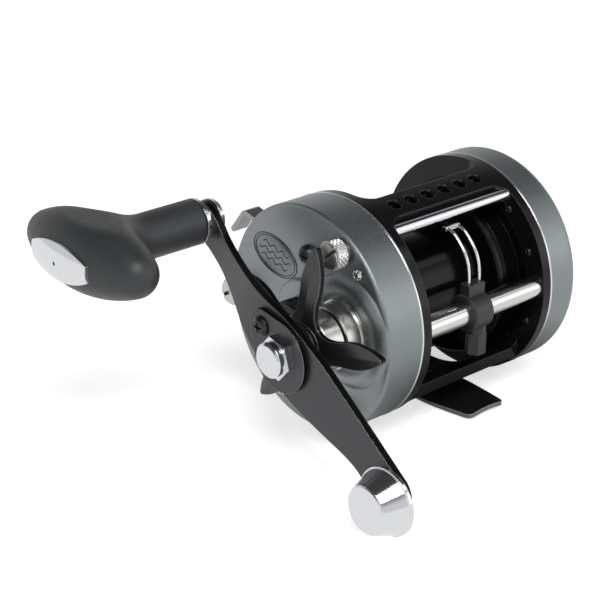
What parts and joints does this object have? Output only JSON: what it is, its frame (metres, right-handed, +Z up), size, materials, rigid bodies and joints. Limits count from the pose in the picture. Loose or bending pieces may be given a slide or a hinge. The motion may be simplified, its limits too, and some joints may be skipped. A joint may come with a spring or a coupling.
{
  "type": "trolling reel",
  "caption": "Round level-wind trolling reel: ringed frame with a spool, rising line guide, star drag, swept crank with a rubber T-knob and counterweight, and a seat foot.",
  "frame": {"origin": "at the middle of the foot's flat seat face", "axes": "+X along the spool axis to the palm side, crank at -X; +Y to the angler, line leaves at -Y; +Z up, away from the foot"},
  "size_m": [0.1357, 0.1096, 0.0665],
  "materials": {
    "black_frame": "gloss black anodised",
    "black_foot": "gloss black",
    "steel_pins": "satin",
    "grey_plate": "satin grey anodised",
    "dark_plate": "satin",
    "bronze": "plain",
    "bright_chrome": "bright",
    "dark_screws": "blackened",
    "nickel": "satin nickel",
    "bearing_steel": "polished",
    "spring_steel": "plain",
    "white_nylon": "plain",
    "carbon": "woven",
    "gunmetal": "gloss gunmetal",
    "soft_rubber": "matte",
    "black_nylon": "plain",
    "black_spool": "gloss black anodised",
    "red_fibre": "plain",
    "black_guide": "matte",
    "black_cap": "satin"
  },
  "bodies": {
    "reel_frame": {"frame": "black_frame", "foot": "black_foot", "foot_rivets": "steel_pins", "handle_side_plate": "grey_plate", "gear_base_plate": "dark_plate", "bushings": "bronze", "palm_side_plate": "grey_plate", "palm_bulkhead": "dark_plate", "brake_ring": "steel_pins", "thumb_screws": "bright_chrome", "plate_screws": "nickel", "dome_screw": "dark_screws", "palm_screws": "steel_pins", "top_rod": "bright_chrome", "guide_tube": "nickel", "spool_bearings": "bearing_steel", "click_springs": "spring_steel", "yoke_springs": "spring_steel", "bearing_collar": "nickel", "anti_reverse_bearing": "bearing_steel"},
    "crank": {"drive_shaft": "bearing_steel", "guide_drive_gear": "white_nylon", "main_gear": "bronze", "friction_washers": "carbon", "drag_washers": "bearing_steel", "drag_sleeve": "bearing_steel", "spring_washers": "spring_steel", "arm_spacer": "dark_screws", "handle_arm": "gunmetal", "nut_retainer": "gunmetal", "retainer_screw": "dark_screws", "handle_nut": "bright_chrome", "counterweight": "bright_chrome", "knob_post": "bright_chrome"},
    "star": {"star_drag": "gunmetal", "star_collar": "nickel"},
    "knob": {"knob_grip": "soft_rubber", "knob_core": "black_nylon", "knob_end_cap": "bright_chrome", "knob_collar": "bright_chrome", "knob_bearings": "bearing_steel"},
    "spool_body": {"spool": "black_spool", "spool_shaft": "bearing_steel", "brake_rotor": "black_nylon", "click_gear": "bronze"},
    "upper_brake": {"brake_block_upper": "red_fibre"},
    "lower_brake": {"brake_block_lower": "red_fibre"},
    "yoke": {"clutch_yoke": "black_nylon"},
    "pinion_body": {"pinion": "bronze"},
    "release": {"release_lever": "spring_steel"},
    "worm": {"worm_shaft": "bearing_steel", "worm_cog": "white_nylon"},
    "carriage": {"line_guide_carriage": "black_guide", "guide_wires": "bright_chrome", "pawl": "bearing_steel", "pawl_cap": "black_guide"},
    "cast_control": {"cast_control_cap": "black_cap", "cast_control_shim": "bronze"},
    "click": {"click_button": "black_cap", "click_pawl": "spring_steel"}
  },
  "joints": [
    {"name": "handle_spin", "type": "hinge", "parent": "reel_frame", "child": "crank", "pos_m": [-0.0042, -0.0152, 0.0324], "axis": [1, 0, 0], "continuous": true},
    {"name": "star_turn", "type": "hinge", "parent": "crank", "child": "star", "pos_m": [-0.0042, -0.0152, 0.0324], "axis": [1, 0, 0], "range_deg": [-90, 270]},
    {"name": "knob_spin", "type": "hinge", "parent": "crank", "child": "knob", "pos_m": [-0.0915, 0.02275, 0.0561], "axis": [1, 0, 0], "continuous": true},
    {"name": "spool_spin", "type": "hinge", "parent": "reel_frame", "child": "spool_body", "pos_m": [-0.0042, 0, 0.0308], "axis": [1, 0, 0], "continuous": true},
    {"name": "upper_brake_slide", "type": "slide", "parent": "spool_body", "child": "upper_brake", "axis": [0, 0, 1], "range_m": [0, 0.0004]},
    {"name": "lower_brake_slide", "type": "slide", "parent": "spool_body", "child": "lower_brake", "axis": [0, 0, -1], "range_m": [0, 0.0004]},
    {"name": "release_press", "type": "slide", "parent": "reel_frame", "child": "release", "axis": [0, 0, -1], "range_m": [0, 0.003], "stiffness_N_per_m": 60},
    {"name": "yoke_slide", "type": "slide", "parent": "reel_frame", "child": "yoke", "axis": [-1, 0, 0], "range_m": [0, 0.0012]},
    {"name": "pinion_spin", "type": "hinge", "parent": "yoke", "child": "pinion_body", "pos_m": [-0.0042, 0, 0.0308], "axis": [1, 0, 0], "continuous": true},
    {"name": "worm_spin", "type": "hinge", "parent": "reel_frame", "child": "worm", "pos_m": [-0.0042, -0.02704, 0.0324], "axis": [1, 0, 0], "continuous": true},
    {"name": "guide_slide", "type": "slide", "parent": "reel_frame", "child": "carriage", "axis": [1, 0, 0], "range_m": [-0.0103, 0.0103]},
    {"name": "cast_control_turn", "type": "hinge", "parent": "reel_frame", "child": "cast_control", "pos_m": [-0.0452, 0, 0.0308], "axis": [1, 0, 0], "range_deg": [-180, 180]},
    {"name": "click_slide", "type": "slide", "parent": "reel_frame", "child": "click", "axis": [0, 0, -1], "range_m": [0, 0.0028]}
  ],
  "couplings": [
    {"joint": "spool_spin", "follows": "handle_spin", "ratio": -4.0833},
    {"joint": "pinion_spin", "follows": "handle_spin", "ratio": -4.0833},
    {"joint": "worm_spin", "follows": "handle_spin", "ratio": -3.5385},
    {"joint": "yoke_slide", "follows": "release_press", "ratio": 0.4}
  ]
}
